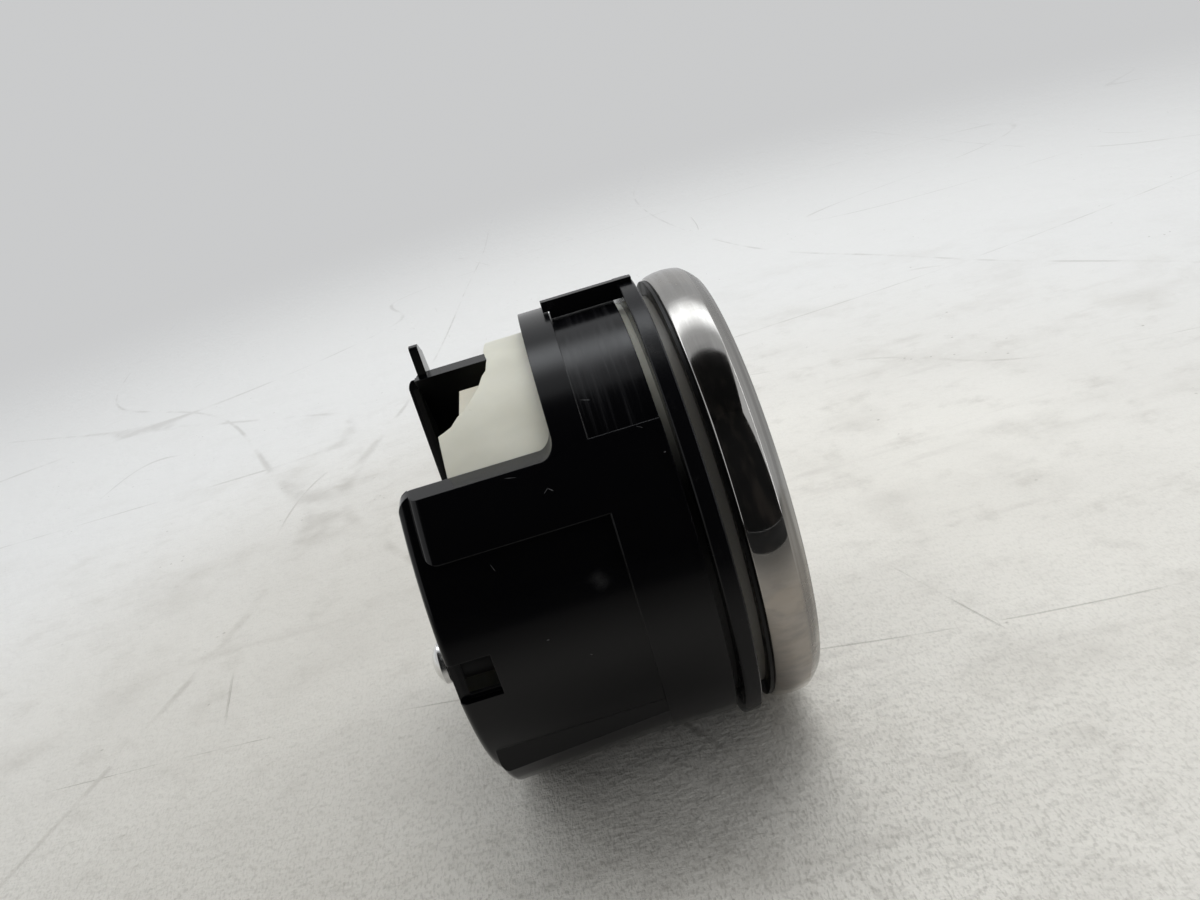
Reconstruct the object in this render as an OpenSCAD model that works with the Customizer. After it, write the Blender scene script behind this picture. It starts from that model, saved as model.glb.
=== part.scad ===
// Motorcycle gauge cluster: one round instrument with a chrome bezel, a cream
// inner case, a black mounting ring and a black rear cover with an open
// harness bay. Each piece is drawn in dial view: x to the rider's right,
// y up the dial, z out of the face. The rear face of the mounting ring is
// z = 0. The finished gauge is laid on its side, with its face along +X.

/* [Mounting ring] */
// Width of the mounting ring round the case
ring_w = 6.2; // [5.4:0.1:8]
// Thickness of the mounting ring along the axis
ring_t = 3.9; // [3.4:0.1:5]
// Width of the locating tongue
tongue_w = 2.4; // [1.6:0.1:4]
// Height of the tongue above the ring's outside
tongue_over = 1.1; // [0.4:0.1:2.5]
// Length of the tongue's lip over the cover's rim
tongue_lip = 1.2; // [0.8:0.1:2]

/* [Inner case] */
// Outside diameter of the inner case
case_d = 101.6; // [92:0.2:112]
// Wall of the inner case
case_wall = 2.2; // [1.6:0.1:2.6]
// Depth of the case's rear edge behind the ring
skirt_depth = 48.4; // [45:0.2:50]
// Thickness of the case's front flange
flange_t = 3.6; // [3:0.1:5]
// Thickness of the partition behind the works
partition_t = 2; // [1.6:0.1:3]
// Width of the case seen in front of the ring
front_strip = 2.85; // [2:0.05:3.5]
// Thickness of the rubber seal behind the bezel
seal_t = 0.9; // [0.6:0.05:1.6]
// Distance of the rubber seal's edge inside the bezel's edge
seal_inset = 0.8; // [0.4:0.1:1.6]

/* [Rear cover] */
// Wall of the rear cover at its front band
cover_wall = 4.2; // [3.6:0.1:5.4]
// Depth of the rear cover's back face behind the ring
cover_depth = 60; // [57:0.5:66]
// Gap between the ring and the cover's front edge
cover_gap = 1.8; // [1:0.1:3]
// Depth of the sunk panels on both flanks
panel_cut = 2.1; // [1:0.1:2.4]
// Depth of the sunk sleeve under the tongue
sleeve_cut = 1.9; // [1:0.1:2.4]
// Depth of the step behind the front band
step_depth = 17.5; // [15:0.5:19]
// Width of the rim between the sleeve and the window
rim_w = 7.3; // [5:0.1:9]
// Distance of the window's sills from the axis
sill_h = 37.8; // [35:0.1:39]
// Turn of the window towards the rider's left
window_turn = 3.2; // [0:0.2:4]
// Half angle of the sunk sleeve
window_half = 48; // [46:1:50]
// Half angle at which the flank panels start
pad_half = 65; // [62:1:70]
// Distance of the bottom rails' outer sides from the middle
rail_side = 46; // [43:0.2:48]
// Half angle of the channel underneath
channel_half = 14; // [10:1:20]
// Height of the bottom rails above the cover
rail_out = 1.3; // [0.4:0.1:1.5]
// Drop of the bottom rails below the cover at their front
rail_drop = 0.4; // [0.2:0.1:0.8]
// Thickness of the back plate
back_t = 2.6; // [2:0.1:3.5]
// Rounding of the cover's back edge
edge_r = 1.6; // [0.8:0.1:3]
// Distance of the pads and the rim from the back face
pad_back = 3; // [2:0.1:4]
// Rounding of the flank pads' lower corner
pad_r = 3; // [2:0.1:4]
// Distance of the bottom rails from the back face
rail_back = 2.4; // [2:0.1:6]
// Rounding of the bottom rails' back edge
rail_r_back = 1.6; // [1:0.1:2.4]
// Rounding of the window's corners
corner_r = 3.5; // [2:0.5:5]
// Width of the opening in the back plate
bay_w = 72; // [64:0.5:74]
// Height of the opening's lower edge above the axis
bay_low = 4; // [3:0.5:10]
// Width of the notch in the back edge
notch_w = 10.4; // [8:0.1:12]
// Length of the notch in the back edge
notch_len = 9.8; // [7:0.1:10]
// Height of the fin above the window sill
fin_h = 8.6; // [6:0.1:12]
// Thickness of the fin
fin_t = 2.4; // [1.4:0.1:3]

/* [Cover screws] */
// Thread diameter of the cover screws
screw_d = 5; // [4:0.5:5]
// Length of the cover screws under the head
screw_len = 20; // [16:1:24]
// Head diameter of the cover screws
head_d = 9.5; // [8:0.5:10]
// Head height of the cover screws
head_h = 3.6; // [2.6:0.1:4]
// Distance of the cover screws inside the case's wall
screw_inset = 3.1; // [2.8:0.1:4.5]
// Height of the two side screws above the axis
screw_y = -1.2; // [-3:0.1:1]

/* [Bracket holes] */
// Diameter of the two holes, tapped M5
tap_d = 4.2; // [4:0.1:4.4]
// Depth of the holes
tap_len = 9; // [7:0.5:9.5]
// Distance between the holes
tap_gap = 44; // [38:1:50]
// Distance of the holes below the axis
tap_drop = 33; // [32:0.5:35]
// Wall of the bosses round the holes
tap_wall = 2.2; // [1.6:0.1:2.4]

/* [Bezel and lens] */
// Height of the bezel's rear edge round the case
bezel_over = 4.4; // [3.8:0.1:5.2]
// Growth of the bezel's diameter towards its ridge
bezel_flare = 1; // [0.4:0.1:1.6]
// Thickness of the bezel sheet
sheet_t = 0.8; // [0.6:0.1:1]
// Radius of the bezel's rounded front
nose_r = 5; // [4.6:0.1:5.6]
// Thickness of the lens
lens_t = 2.6; // [2:0.1:4]
// Thickness of the gasket behind the lens
rear_gasket_t = 1; // [0.8:0.1:2]
// Thickness of the gasket in front of the lens
front_gasket_t = 0.6; // [0.5:0.1:1.2]

/* [Dial] */
// Height of the dial's front above the ring
dial_z = 6.2; // [5.8:0.1:7]
// Thickness of the dial plate
dial_t = 0.8; // [0.5:0.1:1]
// Thickness of the light guide under the dial
guide_t = 2.8; // [2:0.1:3]
// Length of the pointer from its axis
pointer_len = 38; // [30:1:41]
// Thickness of the pointer
pointer_t = 1; // [0.8:0.1:1.4]
// Diameter of the pointer's cap
cap_d = 14; // [10:0.5:18]
// Distance of the dial screws inside the dial's edge
dial_screw_inset = 12.3; // [8:0.1:14]

/* [Display] */
// Width of the display glass
lcd_w = 46; // [40:1:48]
// Height of the display glass
lcd_h = 17; // [14:0.5:18]
// Thickness of the display glass
lcd_t = 2.4; // [2:0.1:3]
// Distance of the display's lower edge inside the dial's edge
lcd_inset = 13.8; // [13:0.1:15]

/* [Circuit board] */
// Height of the board's front face above the ring
board_z = -3.4; // [-4:0.1:-3]
// Thickness of the circuit board
board_t = 1.6; // [1:0.1:2]
// Distance of the board screws inside the board's edge
board_screw_inset = 7.6; // [6:0.1:9]

/* [Stepper motor] */
// Depth of the stepper motor
motor_depth = 11.2; // [11:0.1:12]
// Wall of the motor's housing
motor_wall = 1; // [0.8:0.1:1.2]
// Module of the gear teeth
tooth_m = 0.4; // [0.36:0.02:0.42]
// Teeth of the output gear
output_teeth = 60; // [60:1:60]
// Teeth of the idler's large gear
idler_teeth = 50; // [50:1:50]
// Teeth of both pinions
pinion_teeth = 10; // [10:1:10]
// Radius of the output shaft
shaft_r = 0.9; // [0.75:0.05:1]
// Radial running clearance of shafts and pivots
run_gap = 0.05; // [0.03:0.01:0.08]

/* [Connector] */
// Width of the connector housing
plug_w = 24; // [22:0.5:26]
// Height of the connector housing
plug_h = 14; // [13:0.5:15]
// Length of the connector housing behind the partition
plug_len = 26.5; // [22:0.5:28]
// Distance of the connector inside the case's wall
plug_inset = 11.6; // [10:0.2:14]
// Pins in each of the two rows
pins_per_row = 6; // [4:1:6]

/* [Hidden] */
$fn = 96;
fit = 0.3;          // gap between plain covers and what they go over
touch = 0.05;       // gap between pieces that are screwed or crimped together
case_r = case_d/2;
case_in = case_r - case_wall;
ring_r = case_r + ring_w;
cover_in = case_r + fit;
cover_r = cover_in + cover_wall;
panel_r = cover_r - panel_cut;
sleeve_r = cover_r - sleeve_cut;
rail_r = cover_r + rail_out;
step_z = -step_depth;
window_z = step_z - rim_w;
back_z = -cover_depth;
inner_z = back_z + back_t;

// Front stack, from the ring towards the rider
seal_z = ring_t + front_strip;
bezel_z = seal_z + seal_t + touch;
flange_z = bezel_z + sheet_t;
flange_top = flange_z + flange_t;
lens_z = flange_top + rear_gasket_t;
lens_top = lens_z + lens_t;
gasket_top = lens_top + front_gasket_t;
bezel_r0 = case_r + bezel_over;
bezel_r1 = bezel_r0 + bezel_flare/2;
seal_r = bezel_r0 - seal_inset;
flange_r = bezel_r0 - sheet_t - 0.2;
lens_r = flange_r - 0.5;
nose_end = 155;     // degrees round the nose at which the bezel's lip ends
nose_c = bezel_r1 - 0.94*nose_r;
nose_z = gasket_top + touch - (nose_r - sheet_t)*sin(nose_end);
nose_start = acos((bezel_r1 - nose_c)/nose_r);
sight_r = nose_c - nose_r*cos(180 - nose_end);

// Rear stack, from the dial to the partition
guide_top = dial_z - dial_t;
guide_z = guide_top - guide_t;
board_back = board_z - board_t;
works_r = case_in - 0.3;
board_r = case_in - 1;
dial_screw_r = works_r - dial_screw_inset;
board_screw_r = board_r - board_screw_inset;
motor_z = board_back - motor_depth;
partition_top = motor_z - 0.8;
partition_z = partition_top - partition_t;

// Motor layout: output shaft on the axis, then the idler, then the rotor
pa = 25;
cd_out = tooth_m*(output_teeth + pinion_teeth)/2;
cd_rot = tooth_m*(idler_teeth + pinion_teeth)/2;
a_out = -130;
a_rot = -20;
idler = [cd_out*cos(a_out), cd_out*sin(a_out)];
rotor_c = idler + [cd_rot*cos(a_rot), cd_rot*sin(a_rot)];
gear_top = board_back - motor_wall - 0.8;
pivot_r = 0.6;
pivot_lo = motor_z + 0.4;
pivot_hi = board_back - 0.5;
coil_y = -28;
coil_r = 2.2;
coil_z = motor_z + motor_wall + coil_r + 0.1;
core_w = 2;
core_t = 1.2;
motor_pins_x = [-12, -4, 4, 12];
motor_pins_y = coil_y - 3.6;

// Places of screws, posts and legs
screw_r = case_in - screw_inset;
screw_at = [[-sqrt(screw_r*screw_r - screw_y*screw_y), screw_y],
            [sqrt(screw_r*screw_r - screw_y*screw_y), screw_y],
            [0, -screw_r]];
tap_at = [[-tap_gap/2, -tap_drop], [tap_gap/2, -tap_drop]];
post_r = screw_d/2 + 1.9;
boss_r = screw_d/2 + 2.1;
skirt_z = -skirt_depth;
board_at = [for (a = [90, 210, 330]) [board_screw_r*cos(a), board_screw_r*sin(a)]];
leg_r = 1.5;
leg_at = [for (a = [35, 145, 270]) [(works_r - 5)*cos(a), (works_r - 5)*sin(a)]];
led_at = [[30, 11], [13, 30], [-13, 30], [-30, 11], [-31, -9], [31, -9]];
lcd_drop = works_r - lcd_inset - lcd_h/2;
lcd_at = [0, -lcd_drop];
frame_wall = 2.2;
frame_lip = 0.4;
lcd_z = guide_top - 0.2 - frame_lip - lcd_t;
rubber_w = 2.4;
plug_at = [8, case_in - plug_inset - plug_h/2];
plug_z = partition_z - plug_len;
plug_wall = 1.6;
pin_pitch = 3.2;
pin_row = 5;
pin_w = 0.64;

// Lays the dial view down: face along +X, dial up along +Z, ring on the floor
mid_x = (back_z - head_h + nose_z + nose_r)/2;
module lay() {
    translate([-mid_x, 0, ring_r])
        rotate([90, 0, 90])
            children();
}

// Plain ring from z0 to z1
module tube(ro, ri, z0, z1) {
    translate([0, 0, z0])
        difference() {
            cylinder(r = ro, h = z1 - z0);
            translate([0, 0, -1])
                cylinder(r = ri, h = z1 - z0 + 2);
        }
}

// Round bar from z0 to z1 at a place in the dial view
module bar(at, r, z0, z1) {
    translate([at[0], at[1], z0])
        cylinder(r = r, h = z1 - z0);
}

// Box from z0 to z1, centred on a place in the dial view
module block(at, w, h, z0, z1) {
    translate([at[0] - w/2, at[1] - h/2, z0])
        cube([w, h, z1 - z0]);
}

// Extrudes a side view, drawn as (z, y), across the gauge from x0 to x1
module across(x0, x1) {
    translate([x1, 0, 0])
        rotate([0, -90, 0])
            linear_extrude(height = x1 - x0)
                children();
}

// Points of an arc in the half plane (r, z)
function arc(c, r, a0, a1, n = 8) =
    [for (i = [0:n]) let (a = a0 + (a1 - a0)*i/n) c + r*[cos(a), sin(a)]];

// Bezel: rolled sheet, crimped behind the case flange and curled over the lens
module bezel() {
    lip_r = seal_r - 1.8;
    centre = [nose_c, nose_z];
    outer = concat([[lip_r, bezel_z], [bezel_r0 - 0.4, bezel_z], [bezel_r0, bezel_z + 0.4]],
                   arc(centre, nose_r, nose_start, nose_end, 16));
    inner = concat(arc(centre, nose_r - sheet_t, nose_end, nose_start, 16),
                   [[bezel_r0 - sheet_t, flange_z], [lip_r, flange_z]]);
    color("lightgray")
        rotate_extrude()
            polygon(concat(outer, inner));
}

// Flat rubber ring between the lens and the bezel's curled lip
module front_gasket() {
    color("dimgray")
        tube(lens_r - 0.4, sight_r + 1, lens_top, gasket_top);
}

module lens() {
    c = 0.4;
    color("lightcyan", 0.4)
        rotate_extrude()
            polygon([[0, lens_z], [lens_r, lens_z], [lens_r, lens_top - c],
                     [lens_r - c, lens_top], [0, lens_top]]);
}

module rear_gasket() {
    color("dimgray")
        tube(lens_r, case_in + 1, flange_top, lens_z);
}

// Rubber ring that closes the joint behind the bezel
module bezel_seal() {
    color("black")
        tube(seal_r, case_r + 0.1, seal_z, seal_z + seal_t);
}

// Ring that seats on the panel: grooved inside for the case rib, with a
// tongue along the top that keys the gauge
rib_r = case_r + 3.2;
rib_z0 = ring_t*0.34;
rib_z1 = ring_t*0.66;
module mounting_ring() {
    c = 0.3;
    color("dimgray")
        union() {
            difference() {
                rotate_extrude()
                    polygon([[case_r + 0.15, 0], [ring_r - c, 0], [ring_r, c],
                             [ring_r, ring_t - c], [ring_r - c, ring_t],
                             [case_r + 0.15, ring_t]]);
                tube(rib_r + 0.15, case_r - 1, rib_z0 - 0.1, rib_z1 + 0.1);
            }
            translate([-tongue_w/2, sleeve_r + fit, step_z + fit])
                cube([tongue_w, ring_r + tongue_over - sleeve_r - fit,
                      step_depth - fit + c]);
            translate([-tongue_w/2, cover_r + fit, step_z - tongue_lip])
                cube([tongue_w, ring_r + tongue_over - cover_r - fit,
                      tongue_lip + 2]);
            intersection() {
                translate([-tongue_w/2, ring_r - 2, 0])
                    cube([tongue_w, 2 + tongue_over, ring_t - c]);
                cylinder(r = ring_r + tongue_over, h = ring_t);
            }
        }
}

// The skirt is broken away at the top rear, as the photographed one is
break_near = [[-60, 29.2], [-48.7, 29.2], [-47, 29.8], [-45.2, 30.6],
              [-43.4, 32.4], [-42, 33.2], [-39.9, 35.2], [-37.6, 37.7],
              [-36.2, 40.3], [-35.2, 41.3], [-34.5, 44.2], [-35, 46.8],
              [-34.7, 49.5], [-34.7, 70], [-60, 70]];
break_far = [[-60, 70], [-35, 70], [-35, 46], [-36.5, 41], [-37, 36],
             [-39.5, 29], [-40.5, 22], [-44, 16], [-46, 11.5], [-60, 11.5]];
sight_tilt = 21.5;  // the break was drawn as seen from this angle above
module skirt_break() {
    shift = skirt_z + 48.4;
    translate([0, 0, shift])
        union() {
            rotate([0, 0, -sight_tilt])
                across(-2*ring_r, 14)
                    polygon(break_near);
            across(2, 2*ring_r)
                polygon(break_far);
        }
}

module inner_case() {
    color("ivory")
        difference() {
            union() {
                difference() {
                    union() {
                        cylinder(r = case_r, h = flange_top);
                        translate([0, 0, skirt_z])
                            cylinder(r = case_r, h = skirt_depth + 1);
                        translate([0, 0, flange_z])
                            cylinder(r = flange_r, h = flange_t);
                        translate([0, 0, rib_z0])
                            cylinder(r = rib_r, h = rib_z1 - rib_z0);
                    }
                    translate([0, 0, partition_top])
                        cylinder(r = case_in, h = flange_top - partition_top + 1);
                    translate([0, 0, skirt_z - 1])
                        cylinder(r = case_in, h = partition_z - skirt_z + 1);
                }
                intersection() {
                    union()
                        for (p = screw_at)
                            bar(p, post_r, skirt_z, partition_z + 1);
                    translate([0, 0, skirt_z])
                        cylinder(r = case_r - 0.5, h = skirt_depth);
                }
                for (p = board_at)
                    bar(p, 3.2, partition_top - 1, board_back);
            }
            for (p = screw_at)
                bar(p, screw_d/2 + touch, skirt_z - 1, back_z + screw_len + 1.5);
            for (p = board_at)
                bar(p, 1.25 + touch, board_back - 9, board_back + 1);
            block(plug_at, (pins_per_row - 1)*pin_pitch + 3, pin_row + 3,
                  partition_z - 1, partition_top + 1);
            skirt_break();
        }
}

// Part of a turned body between two angles, given from the top of the dial
module sector(half0, half1) {
    rotate([0, 0, 90 + half0])
        rotate_extrude(angle = half1 - half0)
            children();
}

// Both flanks of the same part
module flanks(half0, half1) {
    sector(half0, half1)
        children();
    sector(-half1, -half0)
        children();
}

// Half section of a wall of the cover, rounded by er at the back, of radius r
// there and r_front at the front
module wall_section(r, z0, z1, er, r_front) {
    low = min(cover_in, r - er - 0.1);
    polygon(concat([[low, z0]], arc([r - er, z0 + er], er, -90, 0, 6),
                   [[r_front, z1], [low, z1]]));
}

// Side view of the window with its rounded corners
module window_view() {
    far = 30;
    difference() {
        union() {
            difference() {
                translate([back_z - far, sill_h])
                    square([window_z - back_z + far, far]);
                translate([window_z - corner_r, sill_h])
                    square(corner_r);
            }
            translate([window_z - corner_r, sill_h + corner_r])
                circle(r = corner_r);
            translate([back_z - far, sill_h - corner_r])
                square([far + corner_r, corner_r + 1]);
        }
        translate([back_z + corner_r, sill_h - corner_r])
            circle(r = corner_r);
        translate([back_z + corner_r, sill_h - 2*corner_r])
            square([corner_r, 2*corner_r]);
    }
}

// Opening in the back plate, drawn in dial view
module bay_view() {
    r = 4;
    translate([-bay_w/2, bay_low + r])
        square([bay_w, cover_r]);
    translate([-bay_w/2 + r, bay_low])
        square([bay_w - 2*r, cover_r]);
    for (s = [-1, 1])
        translate([s*(bay_w/2 - r), bay_low + r])
            circle(r = r);
}

// Fin on the far wall's rear corner, drawn in dial view
module fin_view() {
    x0 = sqrt(cover_in*cover_in - sill_h*sill_h) + 2;
    x1 = sqrt(cover_r*cover_r - sill_h*sill_h);
    low = sill_h - corner_r - 2;
    x_low = sqrt(cover_in*cover_in - low*low) + 0.6;
    polygon([[x_low, low], [x0, sill_h - 1], [x0, sill_h + fin_h - 0.6], [x0 + 0.6, sill_h + fin_h],
             [x0 + 2.5, sill_h + fin_h], [x0 + 8.4, sill_h + fin_h - 4],
             [x0 + 10.6, sill_h - 2], [x0 + 8.6, low + 1], [x1, low]]);
}

// Walls of the cover: sunk all round but for the front band, the rim, the
// two pads beside the window and the two rails underneath
module cover_walls() {
    rotate_extrude()
        polygon(concat([[0, back_z]],
                       arc([panel_r - edge_r, back_z + edge_r], edge_r, -90, 0, 6),
                       [[panel_r, step_z + 1], [0, step_z + 1]]));
    rotate_extrude()
        wall_section(cover_r, step_z, -cover_gap, 0.3, cover_r);
    difference() {
        sector(-pad_half, pad_half)
            wall_section(cover_r - 0.02, back_z + pad_back, step_z + 1, panel_cut,
                         cover_r - 0.02);
        for (s = [-1, 1])
            pad_corner(s);
    }
    intersection() {
        flanks(90, 180 - channel_half)
            wall_section(rail_r, back_z + rail_back, step_z, rail_r_back,
                         cover_r - rail_drop);
        translate([-rail_side, -rail_r - 1, back_z])
            cube([2*rail_side, rail_r + 1, cover_depth]);
    }
}

// What the rounding of a pad's lower back corner takes away
module pad_corner(s) {
    turn = pad_half - asin(pad_r/cover_r);
    low = back_z + pad_back;
    rotate([0, 0, 90 + s*turn])
        difference() {
            translate([panel_r - 2, s > 0 ? 0 : -pad_r - 1, low - 1])
                cube([panel_cut + 4, pad_r + 1, pad_r + 1]);
            translate([panel_r - 3, 0, low + pad_r])
                rotate([0, 90, 0])
                    cylinder(r = pad_r, h = panel_cut + 6);
        }
}

module rear_cover() {
    boss_top = skirt_z - fit;
    color("#202124")
        difference() {
            union() {
                difference() {
                    cover_walls();
                    translate([0, 0, inner_z])
                        cylinder(r = cover_in, h = cover_depth);
                    sector(-window_half, window_half)
                        translate([sleeve_r, step_z])
                            square([10, step_depth]);
                    rotate([0, 0, window_turn])
                        across(-ring_r - 10, ring_r + 10)
                            window_view();
                }
                for (p = screw_at)
                    bar(p, boss_r, back_z + 1, boss_top);
                for (p = tap_at)
                    bar(p, tap_d/2 + tap_wall, back_z + 1, back_z + tap_len + 1.4);
                rotate([0, 0, window_turn])
                    translate([0, 0, back_z + 3.8])
                        linear_extrude(height = fin_t)
                            fin_view();
            }
            translate([0, 0, back_z - 5])
                linear_extrude(height = back_t + 5)
                    bay_view();
            for (p = screw_at)
                bar(p, screw_d/2 + 0.25, back_z - 1, boss_top + 1);
            for (p = tap_at)
                bar(p, tap_d/2, back_z - 1, back_z + tap_len);
            translate([-cover_r - 5, screw_y - 2.3 - notch_w/2, back_z - 1])
                cube([cover_r + 5 - cover_in + 0.5, notch_w, notch_len + 1]);
        }
}

// Pan head with a cross recess, its seat at z = 0 and its shank along +z
module pan_screw(d, len, hd, hh) {
    difference() {
        union() {
            cylinder(r = d/2, h = len);
            intersection() {
                translate([0, 0, -hh])
                    cylinder(r = hd/2, h = hh);
                translate([0, 0, hd*0.75 - hh])
                    sphere(r = hd*0.75);
            }
        }
        for (a = [0, 90])
            rotate([0, 0, a])
                translate([-hd*0.26, -hd*0.06, -hh - 1])
                    cube([hd*0.52, hd*0.12, hh*0.55 + 1]);
    }
}

module cover_screws() {
    color("silver")
        for (p = screw_at)
            translate([p[0], p[1], back_z])
                rotate([0, 0, 20])
                    pan_screw(screw_d, screw_len, head_d, head_h);
}

// Black ring between the dial and the lens
module trim_ring() {
    color("#303030")
        rotate_extrude()
            polygon([[works_r - 4, dial_z], [works_r, dial_z],
                     [works_r, lens_z - touch], [sight_r - 0.4, lens_z - touch]]);
}

module dial_plate() {
    color("#151515")
        difference() {
            translate([0, 0, guide_top])
                cylinder(r = works_r, h = dial_t);
            bar([0, 0], shaft_r + 1.2, guide_top - 1, dial_z + 1);
            for (s = [-1, 1])
                bar([s*dial_screw_r, 0], 1.05, guide_top - 1, dial_z + 1);
            block(lcd_at, lcd_w - 6, lcd_h - 6, guide_top - 1, dial_z + 1);
        }
}

module dial_screws() {
    color("silver")
        for (s = [-1, 1])
            translate([s*dial_screw_r, 0, dial_z])
                mirror([0, 0, 1])
                    pan_screw(1.9, dial_t + guide_t - 0.6, 3.6, 1.2);
}

// Clear plate that spreads the light, standing on three legs on the board
module light_guide() {
    hole_w = lcd_w + 2*frame_wall + 1;
    hole_h = lcd_h + 2*frame_wall + 1;
    color("aliceblue", 0.7)
        difference() {
            union() {
                translate([0, 0, guide_z])
                    cylinder(r = works_r, h = guide_t);
                for (p = leg_at)
                    bar(p, leg_r, board_z, guide_z + 1);
            }
            bar([0, 0], 5, guide_z - 1, guide_top + 1);
            for (s = [-1, 1])
                bar([s*dial_screw_r, 0], 1, guide_z - 1, guide_top + 1);
            block(lcd_at, hole_w, hole_h, guide_z - 1, guide_top + 1);
        }
}

pointer_z = dial_z + 2.2;
rest_angle = 135;   // from the top of the dial, to the rider's left
module pointer() {
    tail = 9;
    color("orangered")
        difference() {
            union() {
                rotate([0, 0, rest_angle])
                    translate([0, 0, pointer_z])
                        linear_extrude(height = pointer_t)
                            polygon([[-2.2, -tail], [2.2, -tail], [1.8, 0],
                                     [0.5, pointer_len], [-0.5, pointer_len],
                                     [-1.8, 0]]);
                bar([0, 0], 3, pointer_z - 0.8, pointer_z + pointer_t);
            }
            bar([0, 0], shaft_r + 0.01, pointer_z - 2, pointer_z + pointer_t + 1);
        }
}

module pointer_cap() {
    z0 = pointer_z + pointer_t;
    h = lens_z - z0 - 1.2;
    r = cap_d/2;
    color("#101010")
        rotate_extrude()
            polygon(concat([[0, z0], [r, z0]],
                           arc([r - 1, z0 + h - 1], 1, 0, 90, 6), [[0, z0 + h]]));
}

// Frame that holds the display glass down on its two contact strips
module display_frame() {
    w = lcd_w + 0.6;
    h = lcd_h + 0.6;
    lip_z = lcd_z + lcd_t + touch;
    color("#2a2a2a")
        difference() {
            block(lcd_at, w + 2*frame_wall - 0.6, h + 2*frame_wall - 0.6,
                  board_z, guide_top - 0.15);
            block(lcd_at, w, h, board_z - 1, lip_z);
            block(lcd_at, w - 5, h - 5, board_z - 1, guide_top + 1);
        }
}

module display_glass() {
    color("#7f8a7a")
        block(lcd_at, lcd_w, lcd_h, lcd_z, lcd_z + lcd_t);
}

module contact_strips() {
    y = lcd_h/2 - rubber_w/2;
    color("gray")
        for (s = [-1, 1])
            block(lcd_at + [0, s*y], lcd_w - 2, rubber_w, board_z, lcd_z);
}

module circuit_board() {
    color("darkgreen")
        difference() {
            translate([0, 0, board_back])
                cylinder(r = board_r, h = board_t);
            bar([0, 0], shaft_r + 1.4, board_back - 1, board_z + 1);
            for (p = board_at)
                bar(p, 1.4, board_back - 1, board_z + 1);
            for (x = motor_pins_x)
                bar([x, motor_pins_y], 0.5, board_back - 1, board_z + 1);
            for (p = pin_at())
                bar(p, pin_w*0.8, board_back - 1, board_z + 1);
        }
}

module board_screws() {
    color("silver")
        for (p = board_at)
            translate([p[0], p[1], board_z])
                mirror([0, 0, 1])
                    pan_screw(2.5, 9, 4.6, 1.7);
}

module leds() {
    color("white")
        for (p = led_at)
            block(p, 3.2, 2.8, board_z, board_z + 1.4);
}

module board_chips() {
    color("#181818") {
        block([-25, 20], 12, 12, board_back - 1.5, board_back);
        block([-33, 2], 6, 5, board_back - 1.6, board_back);
        block([24, -24], 7, 9, board_back - 2.3, board_back);
        block([-8, 24], 5, 4, board_back - 1.4, board_back);
    }
}

module capacitors() {
    color("steelblue")
        for (y = [-9, 2, 13])
            bar([30, y], 4, board_back - 10, board_back);
}

// Outline of the motor's inside, grown by g
module motor_view(g) {
    r_out = tooth_m*(output_teeth/2 + 1) + 0.7;
    r_idl = tooth_m*(idler_teeth/2 + 1) + 0.7;
    circle(r = r_out + g);
    translate(idler)
        circle(r = r_idl + g);
    translate([-15 - g, coil_y - 5 - g])
        square([30 + 2*g, 26 + g]);
}

module motor_case() {
    color("#e8e4da")
        difference() {
            translate([0, 0, motor_z + motor_wall])
                linear_extrude(height = motor_depth - motor_wall)
                    motor_view(motor_wall);
            translate([0, 0, motor_z])
                linear_extrude(height = motor_depth - motor_wall)
                    motor_view(0);
            bar([0, 0], shaft_r + run_gap, motor_z, board_back + 1);
            for (p = [idler, rotor_c])
                bar(p, pivot_r + run_gap, motor_z, pivot_hi + 0.1);
            for (x = motor_pins_x)
                bar([x, motor_pins_y], 0.45, motor_z, board_back + 1);
        }
}

module motor_cover() {
    color("#d8d4ca")
        difference() {
            translate([0, 0, motor_z])
                linear_extrude(height = motor_wall)
                    motor_view(motor_wall);
            bar([0, 0], shaft_r + run_gap, pivot_lo - 0.1, board_back);
            for (p = [idler, rotor_c])
                bar(p, pivot_r + run_gap, pivot_lo - 0.1, board_back);
        }
}

// Laminated stator: a pole ring round the magnet and a frame for two coils
magnet_r = 3;
module stator() {
    top = rotor_c[1] - magnet_r - 2.2;
    low = coil_y - core_w/2;
    color("slategray")
        translate([0, 0, coil_z - core_t/2])
            linear_extrude(height = core_t)
                difference() {
                    union() {
                        translate(rotor_c)
                            circle(r = magnet_r + 2.2);
                        translate([-14, top - core_w/2])
                            square([28, core_w]);
                        translate([-14, low])
                            square([28, core_w]);
                        for (x = [-14, -core_w/2, 14 - core_w])
                            translate([x, low])
                                square([core_w, top - low]);
                    }
                    translate(rotor_c)
                        circle(r = magnet_r + 0.4);
                }
}

module coils() {
    len = 14 - 1.5*core_w - 0.8;
    color("peru")
        for (s = [-1, 1])
            translate([s*(core_w/2 + 0.4 + len/2) - len/2, coil_y, coil_z])
                difference() {
                    rotate([0, 90, 0])
                        cylinder(r = coil_r, h = len);
                    translate([-1, -core_w/2 - 0.1, -core_t/2 - 0.1])
                        cube([len + 2, core_w + 0.2, core_t + 0.2]);
                }
}

module motor_pins() {
    color("gold")
        for (x = motor_pins_x)
            bar([x, motor_pins_y], 0.4, motor_z + 4, board_z - touch);
}

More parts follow.
